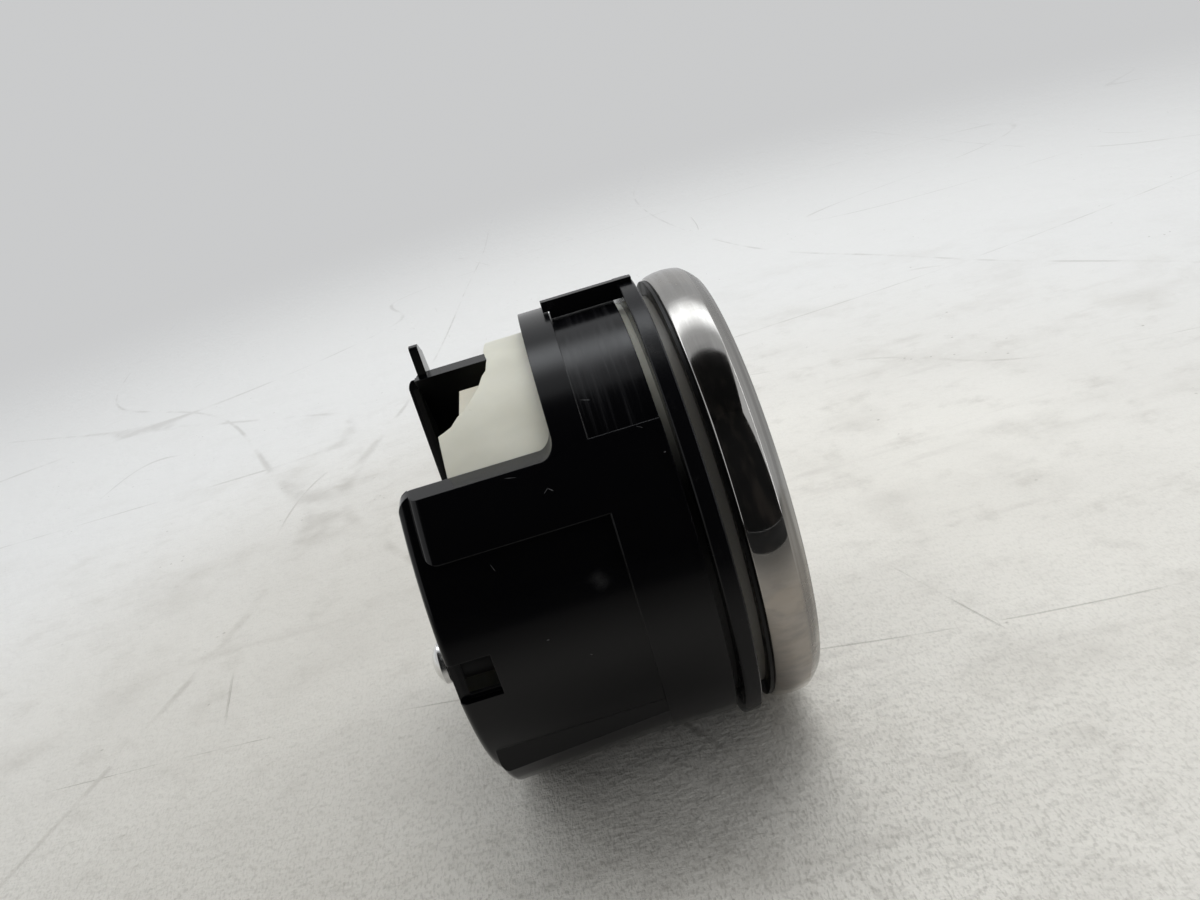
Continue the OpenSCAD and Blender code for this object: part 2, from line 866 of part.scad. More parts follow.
// Involute gear with stub teeth, a tooth centred on the x axis
function inv(a) = tan(a)*180/PI - a;
module gear(teeth, h) {
    r = tooth_m*teeth/2;
    rb = r*cos(pa);
    rt = r + 0.8*tooth_m;
    rr = r - 1.02*tooth_m;
    half = 90/teeth*0.9;
    flank = [for (i = [0:3]) max(rb, rr + 0.01) + (rt - max(rb, rr + 0.01))*i/3];
    lean = [for (q = flank) half + inv(pa) - inv(acos(rb/q))];
    base = lean[0];
    linear_extrude(height = h)
        polygon([for (k = [0:teeth - 1])
            let (c = 360*k/teeth)
                each concat([rr*[cos(c - base), sin(c - base)]],
                            [for (i = [0:3]) flank[i]*[cos(c - lean[i]), sin(c - lean[i])]],
                            [for (i = [3:-1:0]) flank[i]*[cos(c + lean[i]), sin(c + lean[i])]],
                            [rr*[cos(c + base), sin(c + base)]])]);
}

out_z = gear_top - 1.6;
idl_z = out_z - 2.2;
rot_z = idl_z - 0.2;

module output_gear() {
    color("white")
        union() {
            translate([0, 0, out_z])
                rotate([0, 0, a_out])
                    gear(output_teeth, 1.6);
            bar([0, 0], 2.4, out_z, gear_top + 0.4);
            bar([0, 0], shaft_r, pivot_lo, pointer_z + pointer_t - 0.1);
        }
}

module idler_gear() {
    color("whitesmoke")
        translate([idler[0], idler[1], 0])
            union() {
                translate([0, 0, out_z - 0.2])
                    rotate([0, 0, a_out + 180 - 180/pinion_teeth])
                        gear(pinion_teeth, 1.9);
                translate([0, 0, idl_z])
                    rotate([0, 0, a_rot])
                        gear(idler_teeth, 1.4);
                bar([0, 0], 1.4, idl_z, gear_top + 0.1);
                bar([0, 0], pivot_r, pivot_lo, pivot_hi);
            }
}

module rotor() {
    color("dimgray")
        translate([rotor_c[0], rotor_c[1], 0])
            union() {
                translate([0, 0, rot_z])
                    rotate([0, 0, a_rot + 180 - 180/pinion_teeth])
                        gear(pinion_teeth, 1.8);
                bar([0, 0], 1.4, rot_z - 0.6, rot_z + 1);
                bar([0, 0], magnet_r, coil_z - 1.6, rot_z - 0.3);
                bar([0, 0], pivot_r, pivot_lo, pivot_hi);
            }
}

// Places of the connector's pins
function pin_at() = [for (r = [-0.5, 0.5], i = [0:pins_per_row - 1])
    plug_at + [(i - (pins_per_row - 1)/2)*pin_pitch, r*pin_row]];

module connector_header() {
    floor_t = 3;
    color("#e6dfc8")
        difference() {
            union() {
                block(plug_at, plug_w, plug_h, plug_z, partition_z);
                block(plug_at + [0, -plug_h/2], 6, 2, plug_z + 2, plug_z + 6);
            }
            block(plug_at, plug_w - 2*plug_wall, plug_h - 2*plug_wall,
                  plug_z - 1, partition_z - floor_t);
            for (p = pin_at())
                bar(p, pin_w*0.75, plug_z, partition_z + 1);
        }
}

module connector_pins() {
    color("gold")
        for (p = pin_at())
            block(p, pin_w, pin_w, plug_z + 5.5, board_z + 0.6);
}

lay() {
    bezel();
    front_gasket();
    lens();
    rear_gasket();
    bezel_seal();
    mounting_ring();
    inner_case();
    rear_cover();
    cover_screws();
    trim_ring();
    dial_plate();
    dial_screws();
    light_guide();
    pointer();
    pointer_cap();
    display_frame();
    display_glass();
    contact_strips();
    circuit_board();
    board_screws();
    leds();
    board_chips();
    capacitors();
    motor_case();
    motor_cover();
    stator();
    coils();
    motor_pins();
    rotor();
    idler_gear();
    output_gear();
    connector_header();
    connector_pins();
}
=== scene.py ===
import math

import bpy
from mathutils import Matrix, Vector


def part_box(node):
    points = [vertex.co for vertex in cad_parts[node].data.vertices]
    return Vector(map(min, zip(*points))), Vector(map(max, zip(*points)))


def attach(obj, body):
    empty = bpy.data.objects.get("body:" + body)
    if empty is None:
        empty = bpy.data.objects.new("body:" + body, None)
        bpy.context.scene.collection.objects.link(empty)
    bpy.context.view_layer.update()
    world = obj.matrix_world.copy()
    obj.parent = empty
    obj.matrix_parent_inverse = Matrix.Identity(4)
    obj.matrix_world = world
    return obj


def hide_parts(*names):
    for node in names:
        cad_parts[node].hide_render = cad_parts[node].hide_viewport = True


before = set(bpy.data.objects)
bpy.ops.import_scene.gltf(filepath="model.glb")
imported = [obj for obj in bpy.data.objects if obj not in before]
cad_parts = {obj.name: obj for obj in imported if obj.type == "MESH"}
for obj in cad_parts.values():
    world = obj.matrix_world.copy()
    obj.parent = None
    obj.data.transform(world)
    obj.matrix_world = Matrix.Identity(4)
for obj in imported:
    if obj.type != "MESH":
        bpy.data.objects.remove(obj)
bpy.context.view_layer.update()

MM = 0.001
DIAL_TOP = 6.2           # dial face in front of the mounting ring's rear face, mm
POINTER_REST = 135       # degrees from the top of the dial, to the left as it is read
SCALE_SWEEP = 270        # degrees from the first mark to the last
dial_low, dial_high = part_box("dial_plate")
RING_X = dial_high.x - DIAL_TOP * MM         # rear face of the mounting ring
AXIS_Z = (dial_low.z + dial_high.z) / 2      # height of the gauge's axis above the floor
CAMERA_PLACE = (0.00236734, -0.24529462, 0.17138276)
CAMERA_AHEAD = (0.01787, 0.93006, -0.36697)
CAMERA_RIGHT = (0.95670, -0.12255, -0.26403)    # rolled, as the gauge leans in the photograph
CAMERA_LENS = 31.5
LAMP_PLACE = (0.24, 0.30, 0.98)
LAMP_WATTS = 3.8
WORLD_LIGHT = 0.42
BACKDROP = (0.59, 0.595, 0.60)    # what the camera sees behind the floor


# Materials

class Wire:
    """One value inside a node tree; arithmetic on it adds Math nodes."""

    def __init__(self, nodes, socket):
        self.nodes = nodes
        self.socket = socket

    def _math(self, operation, *values):
        return self.nodes.node("ShaderNodeMath", {"operation": operation},
                               dict(enumerate(values)))

    def __add__(self, other):
        return self._math("ADD", self, other)

    __radd__ = __add__

    def __mul__(self, other):
        return self._math("MULTIPLY", self, other)

    __rmul__ = __mul__

    def __sub__(self, other):
        return self._math("SUBTRACT", self, other)

    def __rsub__(self, other):
        return self._math("SUBTRACT", other, self)

    def __pow__(self, other):
        return self._math("POWER", self, other)

    def root(self):
        return self._math("SQRT", self)

    def size(self):
        return self._math("ABSOLUTE", self)

    def most(self, other):
        return self._math("MAXIMUM", self, other)

    def angle_to(self, other):
        return self._math("ARCTAN2", self, other)

    def step(self, low, high):
        """0 below low, 1 above high, smooth between; low may be the larger."""
        return self.nodes.node("ShaderNodeMapRange", {"interpolation_type": "SMOOTHSTEP"},
                               {0: self, 1: low, 2: high, 3: 0.0, 4: 1.0})

    def band(self, low, high, edge):
        """1 between low and high, with soft edges."""
        return self.step(low - edge, low + edge) * self.step(high + edge, high - edge)


class Nodes:
    """The node tree of a material or of the world."""

    def __init__(self, tree):
        self.tree = tree

    def feed(self, socket, value):
        if isinstance(value, Wire):
            self.tree.links.new(value.socket, socket)
        else:
            socket.default_value = value

    def node(self, kind, settings=None, values=None, out=0):
        made = self.tree.nodes.new(kind)
        for name, value in (settings or {}).items():
            setattr(made, name, value)
        for name, value in (values or {}).items():
            self.feed(made.inputs[name], value)
        return Wire(self, made.outputs[out])

    def seen(self):
        """1 for the camera, for reflections and for what is seen through glass."""
        rays = [self.node("ShaderNodeLightPath", out=ray)
                for ray in ("Is Camera Ray", "Is Glossy Ray", "Is Transmission Ray")]
        return rays[0].most(rays[1]).most(rays[2])


class Paint(Nodes):
    """A Principled material built up from expressions."""

    def __init__(self, name, colour=(0.5, 0.5, 0.5), rough=0.5, **plain):
        self.material = bpy.data.materials.new(name)
        self.material.use_nodes = True
        super().__init__(self.material.node_tree)
        self.shader = self.tree.nodes["Principled BSDF"]
        self.colour((*colour, 1.0))
        self.set(Roughness=rough)
        for socket, value in plain.items():
            self.set(**{socket.replace("_", " "): value})

    def set(self, **values):
        for socket, value in values.items():
            self.feed(self.shader.inputs[socket], value)

    def colour(self, value):
        self.set(**{"Base Color": value})

    def show(self, shader):
        """Puts another shader in place of the Principled one."""
        self.feed(self.tree.nodes["Material Output"].inputs[0], shader)

    def place(self, scale=(1, 1, 1), turn=(0, 0, 0), move=(0, 0, 0)):
        here = self.node("ShaderNodeTexCoord", out="Object")
        return self.node("ShaderNodeMapping", None,
                         {"Vector": here, "Scale": scale, "Rotation": turn, "Location": move})

    def xyz(self):
        split = self.tree.nodes.new("ShaderNodeSeparateXYZ")
        here = self.node("ShaderNodeTexCoord", out="Object")
        self.tree.links.new(here.socket, split.inputs[0])
        return [Wire(self, split.outputs[i]) for i in range(3)]

    def vector(self, x, y, z):
        return self.node("ShaderNodeCombineXYZ", None, {0: x, 1: y, 2: z})

    def skin(self):
        """Millimetres in front of the ring's rear face, degrees from the top of the dial
        towards the camera's side, and millimetres out from the axis."""
        x, y, z = self.xyz()
        up = z - AXIS_Z
        radius = (y * y + up * up).root()
        return (x - RING_X) * 1000.0, (y * -1.0).angle_to(up) * math.degrees(1), radius * 1000.0

    def round_place(self, along=1.0, across=1.0, outward=1.0):
        """Coordinates that follow the gauge's skin: along the axis, round it and out of it."""
        along_mm, degrees, out_mm = self.skin()
        return self.vector(along_mm * (MM * along), degrees * (0.055 * math.radians(1) * across),
                           out_mm * (MM * outward))

    def noise(self, scale, detail=3.0, rough=0.55, at=None):
        return self.node("ShaderNodeTexNoise", None,
                         {"Scale": scale, "Detail": detail, "Roughness": rough,
                          "Vector": at or self.node("ShaderNodeTexCoord", out="Object")})

    def cells(self, scale, at):
        """Distance to the nearest of scattered points."""
        return self.node("ShaderNodeTexVoronoi", {"feature": "F1"},
                         {"Vector": at, "Scale": scale}, "Distance")

    def mix(self, amount, first, second):
        made = self.tree.nodes.new("ShaderNodeMix")
        made.data_type = "RGBA"
        for index, value in ((0, amount), (6, first), (7, second)):
            if isinstance(value, tuple) and len(value) == 3:
                value = (*value, 1.0)
            self.feed(made.inputs[index], value)
        return Wire(self, made.outputs[2])

    def rounded_edges(self, radius, samples=6):
        return self.node("ShaderNodeBevel", {"samples": samples}, {"Radius": radius})

    def mixed_with(self, amount, shader):
        return self.node("ShaderNodeMixShader", None,
                         {0: amount, 1: Wire(self, self.shader.outputs[0]), 2: shader})

    def bump(self, height, distance, strength=1.0, under=None):
        values = {"Height": height, "Distance": distance, "Strength": strength}
        if under is not None:
            values["Normal"] = under
        return self.node("ShaderNodeBump", None, values)


def worn_edges(paint, radius):
    """Mask of the sharp edges of a piece, from how far a rounded normal leans away."""
    soft = paint.rounded_edges(radius)
    flat = paint.node("ShaderNodeNewGeometry", out="Normal")
    lean = paint.node("ShaderNodeVectorMath", {"operation": "DOT_PRODUCT"},
                      {0: soft, 1: flat}, out="Value")
    return (1.0 - lean).step(0.02, 0.35)


def scratch(paint, x, theta, long, wide, slant, radius=54, soft=1.0):
    """Mask of one mark on the gauge's skin: its middle, size in mm and slant in degrees."""
    along_mm, degrees, _ = paint.skin()
    a = along_mm - x
    b = (degrees - theta) * (radius * math.radians(1))
    cos, sin = math.cos(math.radians(slant)), math.sin(math.radians(slant))
    lengthwise = (a * cos + b * sin).size()
    sideways = (b * cos - a * sin).size()
    ragged = paint.noise(900, 2) * (wide * 1.2)
    return (lengthwise.step(long * 0.5 * soft, long * 0.3)
            * (sideways + ragged).step(wide * 1.3 * soft, wide * 0.6))


def chrome_plate():
    p = Paint("chrome_plate", (0.52, 0.51, 0.49), 0.07, Metallic=1.0)
    x, theta, _ = p.skin()
    skin = p.round_place()
    haze = p.noise(70, 4, at=skin)
    wipe = p.noise(9, 3, at=p.round_place(8, 60, 8))
    streaks = p.noise(14, 3, at=p.round_place(60, 1.0, 60))
    specks = p.noise(620, 3, 0.6, at=skin).step(0.60, 0.72)
    mottle = p.noise(150, 4, 0.65, at=p.round_place(0.6, 1.0, 1.0))
    fine = p.noise(480, 3, 0.6, at=p.round_place(0.35, 1.0, 1.0)).step(0.4, 0.7)
    warm = p.noise(85, 3, 0.6, at=p.round_place(0.8, 1.3, 1.0))
    tarnish = theta.band(-2, 17, 8) * specks
    # Painted reflection: the lower part of the bezel is coloured darker and warmer for the shaded floor it
    # reflects.
    painted_floor_reflection = theta.step(78, 96) * theta.step(178, 150) * (haze.step(0.2, 0.7) * 0.4 + 0.6)
    # Painted reflection: the slope in front of the ridge is coloured dark grey for the grey it reflects.
    slope = x.step(15.8, 17.2)
    # The upper band: real haze in its roughness, and painted shade in its darker colour, which holds down
    # the ceiling's highlight.
    top_haze_and_shade = theta.band(-20, 40, 14) * (streaks.step(0.25, 0.7) * 0.5 + 0.5)
    p.set(Roughness=haze.step(0.35, 0.8) * 0.05 + wipe.step(0.45, 0.75) * 0.05 + top_haze_and_shade * 0.13
          + tarnish * 0.2 + painted_floor_reflection * (fine * 0.10 + mottle * 0.14 + 0.04) + slope * 0.10 + 0.035)
    tone = p.mix(haze.step(0.4, 0.75) * 0.6, (0.56, 0.55, 0.53), (0.47, 0.455, 0.43))
    # Painted shade: the upper band is darkened to hold down the ceiling's highlight.
    tone = p.mix(top_haze_and_shade * 0.55, tone, (0.33, 0.315, 0.295))
    tone = p.mix(tarnish * 0.6, tone, (0.26, 0.21, 0.17))
    # Painted reflection of the shaded floor on the lower part: a warm base, grey mottle, warm patches and
    # fine dark flecks.
    tone = p.mix(painted_floor_reflection * 0.80, tone, (0.54, 0.485, 0.42))
    tone = p.mix(painted_floor_reflection * mottle.step(0.44, 0.66) * 0.55, tone, (0.38, 0.37, 0.365))
    tone = p.mix(painted_floor_reflection * warm.step(0.50, 0.72) * 0.50, tone, (0.60, 0.50, 0.37))
    tone = p.mix(painted_floor_reflection * fine * 0.24, tone, (0.26, 0.24, 0.22))
    # Painted reflection on the slope: dark grey with streaks.
    p.colour(p.mix(slope * (streaks.step(0.3, 0.7) * 0.4 + 0.45), tone, (0.24, 0.235, 0.225)))
    wave = p.noise(55, 2, at=skin) + streaks * 0.10
    p.set(Normal=p.bump(wave, 0.00006, 0.22))
    return p.material


def cover_plastic():
    p = Paint("cover_plastic", (0.003, 0.003, 0.004), 0.2, Specular_IOR_Level=0.33)
    x, theta, out = p.skin()
    soft = p.rounded_edges(0.3 * MM)
    skin = p.round_place()
    cloud = p.noise(38, 4, at=skin)
    scuff = p.noise(60, 5, 0.7, at=p.round_place(1.4, 1.0, 1.0))
    lines = p.noise(26, 2, at=p.round_place(1.0, 0.12, 1.0)).step(0.66, 0.72)
    sleeve = x.band(-17.5, -1.8, 0.3) * out.step(53.6, 53.2) * theta.band(-50, 50, 1.0)
    around = p.noise(30, 3, 0.6, at=p.round_place(40, 0.7, 1.0))
    smear = scratch(p, -23.6, 78.7, 2.2, 0.9, 60, soft=2.6)
    marks = scratch(p, -28.9, 56.4, 1.5, 0.14, 140)
    for x_mm, angle, long, wide, slant in (
            (-27.9, 56.4, 1.5, 0.14, 40), (-15.6, 37.4, 2.4, 0.12, 20),
            (-6.5, 48.8, 1.6, 0.12, 30), (-35.2, 51.4, 2.8, 0.10, 12), (-44.0, 69.0, 2.0, 0.10, 70),
            (-37.7, 88.9, 0.7, 0.2, 0), (-3.1, 55.8, 0.5, 0.2, 0), (-30.0, 96.0, 0.6, 0.2, 30)):
        marks = marks.most(scratch(p, x_mm, angle, long, wide, slant))
    wear = worn_edges(p, 0.45 * MM) * scuff.step(0.4, 0.6)
    dust = scuff.step(0.62, 0.85) * cloud.step(0.60, 0.78)
    hidden = out.step(51.3, 50.8) * x.step(-59.2, -58.4)
    p.set(Roughness=cloud.step(0.3, 0.8) * 0.07 + dust * 0.20 + lines * 0.05 + hidden * 0.5
          + sleeve * around.step(0.35, 0.7) * 0.12 + marks * 0.2 + smear * 0.12 + 0.15)
    tone = p.mix(dust * 0.3, (0.0016, 0.0016, 0.0022), (0.014, 0.014, 0.014))
    tone = p.mix(sleeve * around.step(0.5, 0.75) * 0.35, tone, (0.05, 0.05, 0.052))
    tone = p.mix(wear * 0.18, tone, (0.05, 0.05, 0.05))
    p.colour(p.mix((marks * 0.5).most(smear * 0.06), tone, (0.20, 0.20, 0.20)))
    grain = p.noise(900, 2)
    height = grain * 0.4 + scuff + lines * -0.4 + sleeve * around * 1.2 + marks * -0.6
    p.set(Normal=p.bump(height, 0.00003, 0.30, under=soft))
    return p.material


def ring_rubber():
    p = Paint("ring_rubber", (0.003, 0.003, 0.004), 0.3, Specular_IOR_Level=0.28)
    skin = p.round_place()
    dust = p.noise(110, 5, 0.7, at=skin).step(0.52, 0.8)
    smudge = scratch(p, 2.4, 24.7, 4.0, 1.4, 70, 57)
    x, theta, _ = p.skin()
    nicks = p.cells(420, at=skin).step(0.22, 0.10) * theta.band(2, 34, 10) * x.step(3.3, 3.8)
    dirt = (dust * 0.4).most(smudge * 0.5).most(nicks * 0.6)
    p.colour(p.mix(dirt, (0.0022, 0.0022, 0.0030), (0.020, 0.019, 0.018)))
    p.set(Roughness=dust * 0.2 + nicks * 0.2 + 0.22)
    p.set(Normal=p.bump(p.noise(1400, 2), 0.00003, 0.4, under=p.rounded_edges(0.3 * MM)))
    return p.material


def seal_rubber():
    p = Paint("seal_rubber", (0.006, 0.006, 0.006), 0.38, Specular_IOR_Level=0.25)
    p.colour(p.mix(p.noise(160, 4).step(0.45, 0.8), (0.0015, 0.0015, 0.0015), (0.006, 0.006, 0.006)))
    p.set(Normal=p.bump(p.noise(500, 3), 0.00004, 0.3, under=p.rounded_edges(0.25 * MM)))
    p.set(Roughness=p.noise(120, 3).step(0.3, 0.8) * 0.2 + 0.3)
    return p.material


def cream_plastic(name, pale, warm, stain_colour):
    p = Paint(name, pale, 0.42, Subsurface_Weight=0.2,
              Subsurface_Radius=(1.0, 0.8, 0.5), Subsurface_Scale=0.0025)
    skin = p.round_place()
    cloud = p.noise(45, 4, at=skin)
    flow = p.noise(20, 3, at=p.round_place(1.0, 3.0, 1.0))
    stain = p.noise(160, 5, 0.7, at=skin).step(0.6, 0.85)
    spot = scratch(p, -40.3, 27.8, 0.9, 0.3, 40, 50)
    x, theta, out = p.skin()
    # Painted shade: the case's strip in the groove between the mounting ring and the seal is coloured dark
    # grey for the shade in the groove.
    painted_groove_shade = x.step(3.0, 4.2) * out.step(50.2, 50.6)
    # Painted shade: the case's strip just behind the mounting ring is painted near black lower down the
    # sides, for the shade in the narrow gap.
    painted_gap_shade = x.step(0.7, 0.3) * out.step(50.2, 50.6) * theta.size().step(33, 66) ** 0.5
    tone = p.mix(cloud.step(0.3, 0.75), warm, pale)
    tone = p.mix(flow.step(0.45, 0.75) * 0.5, tone, warm)
    tone = p.mix((stain * 0.30).most(spot * 0.3), tone, stain_colour)
    # Painted shade in the groove between the mounting ring and the seal.
    tone = p.mix(painted_groove_shade * 0.9, tone, (0.13, 0.12, 0.105))
    # Painted shade in the narrow gap behind the mounting ring.
    p.colour(p.mix(painted_gap_shade * x.step(-8.0, -5.0), tone, (0.004, 0.004, 0.004)))
    p.set(Roughness=cloud * 0.2 + 0.30)
    p.set(Normal=p.bump(p.noise(260, 4), 0.00005, 0.3, under=p.rounded_edges(0.25 * MM)))
    return p.material


def bright_plate():
    p = Paint("bright_plate", (0.80, 0.80, 0.79), 0.12, Metallic=1.0)
    p.set(Roughness=p.noise(300, 4).step(0.3, 0.8) * 0.12 + 0.17)
    p.colour(p.mix(p.noise(240, 4).step(0.4, 0.8), (0.82, 0.82, 0.81), (0.62, 0.61, 0.59)))
    p.set(Normal=p.bump(p.noise(600, 3), 0.00003, 0.3))
    return p.material


def zinc_steel():
    p = Paint("zinc_steel", (0.62, 0.62, 0.60), 0.32, Metallic=1.0)
    p.set(Roughness=p.noise(400, 4).step(0.3, 0.8) * 0.2 + 0.24)
    p.colour(p.mix(p.noise(250, 4), (0.56, 0.56, 0.54), (0.70, 0.69, 0.66)))
    return p.material


def matt_black():
    p = Paint("matt_black", (0.014, 0.014, 0.014), 0.6)
    p.colour(p.mix(p.noise(220, 4), (0.011, 0.011, 0.011), (0.018, 0.018, 0.018)))
    p.set(Normal=p.bump(p.noise(1500, 2), 0.00003, 0.5, under=p.rounded_edges(0.2 * MM)))
    p.set(Roughness=p.noise(90, 3) * 0.15 + 0.5)
    return p.material


def dial_paint():
    p = Paint("dial_paint", (0.016, 0.016, 0.018), 0.55)
    _, _, out = p.skin()
    rings = p.noise(4.2, 1, at=p.vector(out, 0.0, 0.0))
    centre = out.step(44.0, 8.0)
    p.colour(p.mix(centre, (0.010, 0.010, 0.012), (0.026, 0.026, 0.030)))
    p.set(Normal=p.bump(rings, 0.00002, 0.35))
    p.set(Roughness=p.noise(500, 2) * 0.1 + 0.45)
    return p.material


def lens_glass():
    p = Paint("lens_glass", (1, 1, 1), 0.0, Transmission_Weight=1.0, IOR=1.49)
    clear = p.node("ShaderNodeBsdfTransparent", None, {0: (0.96, 0.97, 0.97, 1)})
    shadow = p.node("ShaderNodeLightPath", out="Is Shadow Ray")
    p.show(p.mixed_with(shadow, clear))
    return p.material


def plain(name, colour, rough, vary=0.15, scale=200, **sockets):
    """A moulded or printed finish: slight colour change, grain and rounded edges."""
    p = Paint(name, colour, rough, **sockets)
    dark = tuple(c * (1 - vary) for c in colour)
    spots = p.noise(scale, 4)
    p.colour(p.mix(spots.step(0.35, 0.7), dark, colour))
    p.set(Roughness=spots * 0.15 + (rough - 0.07))
    p.set(Normal=p.bump(p.noise(scale * 4, 2), 0.00002, 0.3, under=p.rounded_edges(0.12 * MM, 4)))
    return p.material


def brushed_core():
    p = Paint("core_steel", (0.42, 0.43, 0.44), 0.4, Metallic=1.0)
    sheets = p.noise(1.0, 2, at=p.place(scale=(2600, 30, 30)))
    p.colour(p.mix(sheets.step(0.4, 0.6), (0.24, 0.24, 0.25), (0.48, 0.49, 0.50)))
    p.set(Normal=p.bump(sheets, 0.00004, 0.5))
    return p.material


def wound_copper():
    p = Paint("coil_copper", (0.72, 0.30, 0.12), 0.3, Metallic=1.0)
    turns = p.node("ShaderNodeTexWave", {"wave_type": "BANDS", "bands_direction": "X"},
                   {"Vector": p.place(), "Scale": 900.0, "Distortion": 0.6})
    p.colour(p.mix(turns, (0.34, 0.12, 0.05), (0.80, 0.36, 0.15)))
    p.set(Normal=p.bump(turns, 0.00008, 0.8))
    return p.material


def board_green():
    p = Paint("board_green", (0.015, 0.13, 0.055), 0.3)
    cells = p.node("ShaderNodeTexBrick", {"offset": 0.5},
                   {"Vector": p.place(turn=(0, math.radians(90), 0)), "Scale": 160.0,
                    "Color1": (0, 0, 0, 1), "Color2": (0, 0, 0, 1), "Mortar": (1, 1, 1, 1),
                    "Mortar Size": 0.03})
    p.colour(p.mix(cells, (0.010, 0.10, 0.045), (0.03, 0.19, 0.08)))
    p.set(Normal=p.bump(cells, 0.00005, 0.4, under=p.rounded_edges(0.1 * MM, 4)))
    return p.material


CHROME = chrome_plate()
COVER = cover_plastic()
RING = ring_rubber()
SEAL = seal_rubber()
CREAM = cream_plastic("cream_plastic", (0.73, 0.72, 0.62), (0.61, 0.60, 0.505), (0.42, 0.38, 0.30))
# The connector header's cream: a pinker tone of its own, and darker than the case's in part as painted
# shade.
CREAM_PLUG = cream_plastic("cream_plug_plastic", (0.60, 0.575, 0.47), (0.53, 0.50, 0.41), (0.34, 0.30, 0.24))
BRIGHT = bright_plate()
ZINC = zinc_steel()
MATT = matt_black()
DIAL = dial_paint()
GLASS = lens_glass()
PRINT = plain("white_print", (0.86, 0.86, 0.84), 0.5, 0.04)
NEEDLE = plain("needle_orange", (0.80, 0.12, 0.02), 0.4, 0.1)
DISPLAY = plain("display_grey", (0.20, 0.235, 0.195), 0.25, 0.08)
DIGITS = plain("display_digit", (0.03, 0.035, 0.03), 0.35, 0.05)
GUIDE = plain("light_guide_clear", (0.85, 0.88, 0.89), 0.2, 0.03, Transmission_Weight=0.7)
STRIP = plain("strip_rubber", (0.30, 0.30, 0.31), 0.6)
LED = plain("led_white", (0.85, 0.84, 0.74), 0.3)
CAN = plain("can_aluminium", (0.80, 0.81, 0.82), 0.28, 0.08, Metallic=1.0)
MOTOR = plain("motor_shell", (0.78, 0.76, 0.69), 0.45)
CORE = brushed_core()
COPPER = wound_copper()
GOLD = plain("pin_brass", (0.84, 0.62, 0.26), 0.28, 0.12, Metallic=1.0)
MAGNET = plain("magnet_grey", (0.10, 0.10, 0.11), 0.4)
GEAR = plain("gear_white", (0.86, 0.86, 0.83), 0.38, 0.05)
BOARD = board_green()
LAMPS = [plain("telltale_" + name, colour, 0.3, 0.1, 400) for name, colour in (
    ("green", (0.01, 0.16, 0.03)), ("amber", (0.42, 0.16, 0.01)),
    ("red", (0.32, 0.012, 0.01)), ("blue", (0.01, 0.05, 0.28)))]

NODE_FINISH = {
    "inner_case": CREAM, "rear_cover": COVER, "front_gasket": SEAL, "rear_gasket": SEAL,
    "lens": GLASS, "trim_ring": MATT, "dial_plate": DIAL, "dial_screws": ZINC,
    "light_guide": GUIDE, "pointer": NEEDLE, "pointer_cap": MATT, "display_frame": MATT,
    "display_glass": DISPLAY, "contact_strips": STRIP, "circuit_board": BOARD,
    "board_screws": ZINC, "leds": LED, "board_chips": MATT, "capacitors": CAN,
    "motor_case": MOTOR, "motor_cover": MOTOR, "stator": CORE, "coils": COPPER,
    "motor_pins": GOLD, "rotor": MAGNET, "idler_gear": GEAR, "output_gear": GEAR,
    "connector_header": CREAM_PLUG, "connector_pins": GOLD, "bezel": CHROME,
    "bezel_seal": SEAL, "mounting_ring": RING, "cover_screws": BRIGHT,
}


def dress(thing, finish):
    thing.data.materials.clear()
    thing.data.materials.append(finish)


for node_name, finish in NODE_FINISH.items():
    dress(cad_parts[node_name], finish)


# Modelling

def on_gauge(x, radius, theta=0.0):
    """Row position: x mm in front of the ring's rear face, radius mm, theta degrees
    from the top of the dial towards the camera's side."""
    turn = math.radians(theta)
    return Vector((RING_X + x * MM, -radius * MM * math.sin(turn),
                   AXIS_Z + radius * MM * math.cos(turn)))


def nothing_selected():
    if bpy.context.object and bpy.context.object.mode != "OBJECT":
        bpy.ops.object.mode_set(mode="OBJECT")
    bpy.ops.object.select_all(action="DESELECT")


def start(operator, **where):
    nothing_selected()
    operator(**where)
    return bpy.context.object


def settle(thing, name, smooth=35):
    """Puts a finished piece's place into its mesh and smooths it below an angle."""
    nothing_selected()
    thing.select_set(True)
    bpy.context.view_layer.objects.active = thing
    bpy.ops.object.transform_apply(location=True, rotation=True, scale=True)
    if smooth:
        bpy.ops.object.shade_smooth_by_angle(angle=math.radians(smooth))
    thing.name = thing.data.name = name
    return thing


def add_to_part(thing, finish, body="gauge", stands_for=()):
    dress(thing, finish)
    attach(thing, body)
    if stands_for:
        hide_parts(*stands_for)
    return thing


def apply_modifier(thing, kind, **settings):
    nothing_selected()
    thing.select_set(True)
    bpy.context.view_layer.objects.active = thing
    modifier = thing.modifiers.new(kind.lower(), kind)
    for name, value in settings.items():
        setattr(modifier, name, value)
    bpy.ops.object.modifier_apply(modifier=modifier.name)


def in_order(mesh):
    """Sorts a mesh's points and faces by place, because spin leaves them in a chance order."""
    order = sorted(range(len(mesh.vertices)), key=lambda i: tuple(mesh.vertices[i].co))
    points = [tuple(mesh.vertices[i].co) for i in order]
    rank = {old: new for new, old in enumerate(order)}
    faces = [[rank[i] for i in face.vertices] for face in mesh.polygons]
    mesh.clear_geometry()
    mesh.from_pydata(points, [], sorted(faces, key=sorted))


